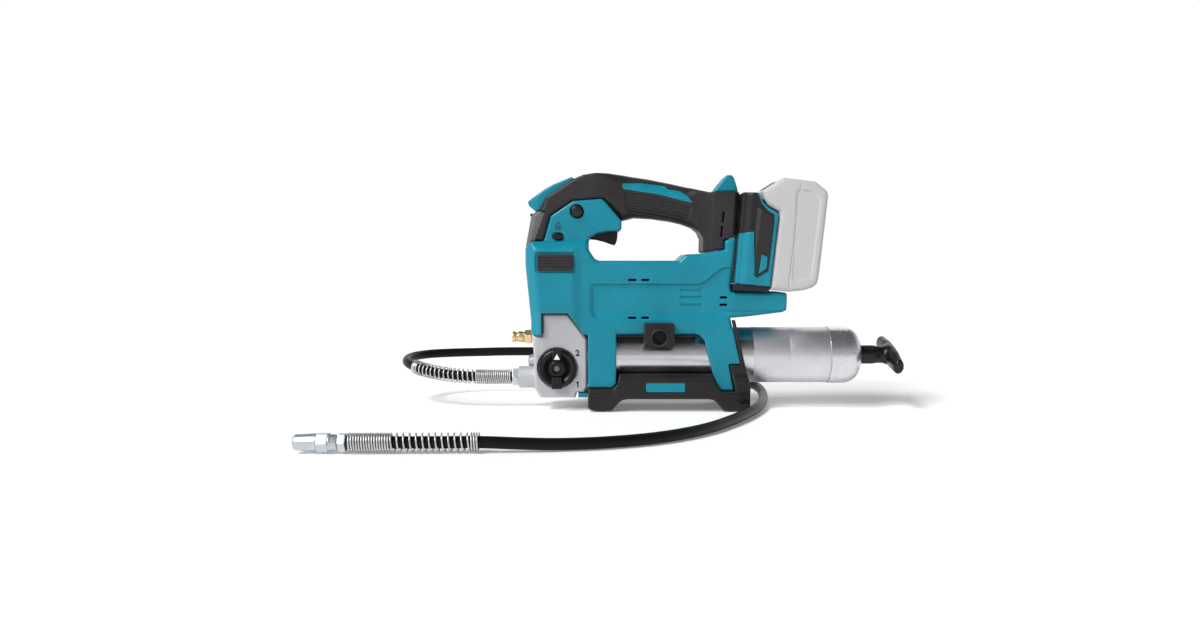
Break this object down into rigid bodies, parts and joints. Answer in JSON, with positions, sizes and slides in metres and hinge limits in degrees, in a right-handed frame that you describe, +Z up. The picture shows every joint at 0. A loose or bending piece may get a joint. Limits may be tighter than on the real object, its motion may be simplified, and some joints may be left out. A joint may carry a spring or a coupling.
{
  "type": "cordless grease gun",
  "caption": "Battery grease gun with a screw-in grease barrel, pump head with speed dial, planetary drive, slide-on battery and a flexible hose with coupler.",
  "frame": {"origin": "middle of the front foot's underside, on the parting plane of the housing", "axes": "+X towards the barrel's pull handle, +Z up from the feet, left side of the tool at -Y"},
  "size_m": [0.5547, 0.4042, 0.2418],
  "materials": {
    "teal_shell": "satin moulded",
    "black_plastic": "textured moulded",
    "elastomer": "matte soft grip",
    "cast_alloy": "fine cast",
    "bright_steel": "brushed",
    "brass": "turned",
    "copper_windings": "enamelled wire",
    "circuit_board": "gloss",
    "clear_lens": "clear",
    "pale_battery": "satin",
    "hose_rubber": "smooth satin"
  },
  "bodies": {
    "tool": {"housing_left": "teal_shell", "housing_right": "teal_shell", "front_strap_loop": "teal_shell", "rear_strap_loop": "teal_shell", "base_inset_left": "teal_shell", "base_inset_right": "teal_shell", "front_panel": "black_plastic", "base_frame": "black_plastic", "coupler_holder": "black_plastic", "battery_mount": "black_plastic", "brush_holder": "black_plastic", "switch_body": "black_plastic", "grip_left": "elastomer", "grip_right": "elastomer", "side_pad_left": "elastomer", "side_pad_right": "elastomer", "mount_bumper_left": "elastomer", "mount_bumper_right": "elastomer", "pump_head": "cast_alloy", "gearbox_case": "cast_alloy", "housing_screw_1": "bright_steel", "housing_screw_2": "bright_steel", "motor_case": "bright_steel", "bearing_front": "bright_steel", "bearing_rear": "bright_steel", "outlet_fitting": "bright_steel", "check_spring": "bright_steel", "grease_nipple": "bright_steel", "hose_guard_inlet": "bright_steel", "hose_guard_outlet": "bright_steel", "hose_end_fitting": "bright_steel", "coupler": "bright_steel", "bleeder_body": "brass", "terminal_block": "copper_windings", "control_board": "circuit_board", "lamp_lens": "clear_lens", "hose": "hose_rubber"},
    "trigger": {"trigger": "black_plastic"},
    "lock_on_button": {"lock_on_button": "black_plastic"},
    "lock_off_bolt": {"lock_off_bolt": "black_plastic"},
    "speed_dial": {"speed_dial": "black_plastic"},
    "armature": {"armature": "copper_windings", "cooling_fan": "black_plastic"},
    "planet_carrier": {"planet_carrier": "bright_steel"},
    "planet_1": {"planet_1": "bright_steel"},
    "planet_2": {"planet_2": "bright_steel"},
    "planet_3": {"planet_3": "bright_steel"},
    "plunger": {"plunger_yoke": "bright_steel"},
    "check_ball": {"check_ball": "bright_steel"},
    "bleeder_knob": {"bleeder_knob": "brass"},
    "barrel": {"barrel": "bright_steel", "barrel_cap": "bright_steel", "follower_spring": "bright_steel"},
    "follower_rod": {"follower_rod": "bright_steel", "pull_handle": "black_plastic", "follower": "elastomer"},
    "battery": {"battery_case": "pale_battery", "battery_rail": "black_plastic", "cell_pack": "bright_steel"},
    "battery_latch": {"battery_latch": "black_plastic"}
  },
  "joints": [
    {"name": "trigger_pull", "type": "hinge", "parent": "tool", "child": "trigger", "pos_m": [-0.008, 0, 0.181], "axis": [0, -1, 0], "range_deg": [0, 9], "stiffness_Nm_per_rad": 0.6, "springref_deg": -17.19},
    {"name": "lock_on_press", "type": "slide", "parent": "tool", "child": "lock_on_button", "axis": [0, 1, 0], "range_m": [0, 0.0025], "stiffness_N_per_m": 400, "springref_m": -0.002},
    {"name": "lock_off_slide", "type": "slide", "parent": "tool", "child": "lock_off_bolt", "axis": [0, 1, 0], "range_m": [0, 0.0025]},
    {"name": "speed_dial_turn", "type": "hinge", "parent": "tool", "child": "speed_dial", "pos_m": [-0.0435, -0.0303, 0.0433], "axis": [0, -1, 0], "range_deg": [0, 180]},
    {"name": "armature_spin", "type": "hinge", "parent": "tool", "child": "armature", "pos_m": [0.038, 0, 0.115], "axis": [1, 0, 0], "continuous": true},
    {"name": "carrier_spin", "type": "hinge", "parent": "tool", "child": "planet_carrier", "pos_m": [-0.005, 0, 0.115], "axis": [1, 0, 0], "continuous": true},
    {"name": "planet_1_spin", "type": "hinge", "parent": "planet_carrier", "child": "planet_1", "pos_m": [0.002, 0.0135, 0.115], "axis": [1, 0, 0], "continuous": true},
    {"name": "planet_2_spin", "type": "hinge", "parent": "planet_carrier", "child": "planet_2", "pos_m": [0.002, -0.00675, 0.12669], "axis": [1, 0, 0], "continuous": true},
    {"name": "planet_3_spin", "type": "hinge", "parent": "planet_carrier", "child": "planet_3", "pos_m": [0.002, -0.00675, 0.10331], "axis": [1, 0, 0], "continuous": true},
    {"name": "plunger_stroke", "type": "slide", "parent": "tool", "child": "plunger", "axis": [0, 0, 1], "range_m": [-0.003, 0.003]},
    {"name": "check_ball_lift", "type": "slide", "parent": "tool", "child": "check_ball", "axis": [-1, 0, 0], "range_m": [0, 0.0015], "stiffness_N_per_m": 300, "springref_m": -0.002, "deforming": ["check_spring"]},
    {"name": "bleeder_turn", "type": "hinge", "parent": "tool", "child": "bleeder_knob", "pos_m": [-0.0794, 0, 0.073], "axis": [-1, 0, 0], "range_deg": [0, 180]},
    {"name": "barrel_removal", "type": "slide", "parent": "tool", "child": "barrel", "axis": [1, 0, 0], "range_m": [0, 0.28]},
    {"name": "rod_pull", "type": "slide", "parent": "barrel", "child": "follower_rod", "axis": [1, 0, 0], "range_m": [0, 0.16], "deforming": ["follower_spring"]},
    {"name": "battery_slide", "type": "slide", "parent": "tool", "child": "battery", "axis": [0.1115, 0, 0.9938], "range_m": [0, 0.13]},
    {"name": "battery_latch_press", "type": "slide", "parent": "battery", "child": "battery_latch", "axis": [0.5343, 0, -0.8453], "range_m": [0, 0.003], "stiffness_N_per_m": 500, "springref_m": -0.002}
  ],
  "couplings": [
    {"joint": "carrier_spin", "follows": "armature_spin", "ratio": 0.2},
    {"joint": "planet_1_spin", "follows": "armature_spin", "ratio": -0.53333},
    {"joint": "planet_2_spin", "follows": "armature_spin", "ratio": -0.53333},
    {"joint": "planet_3_spin", "follows": "armature_spin", "ratio": -0.53333}
  ]
}
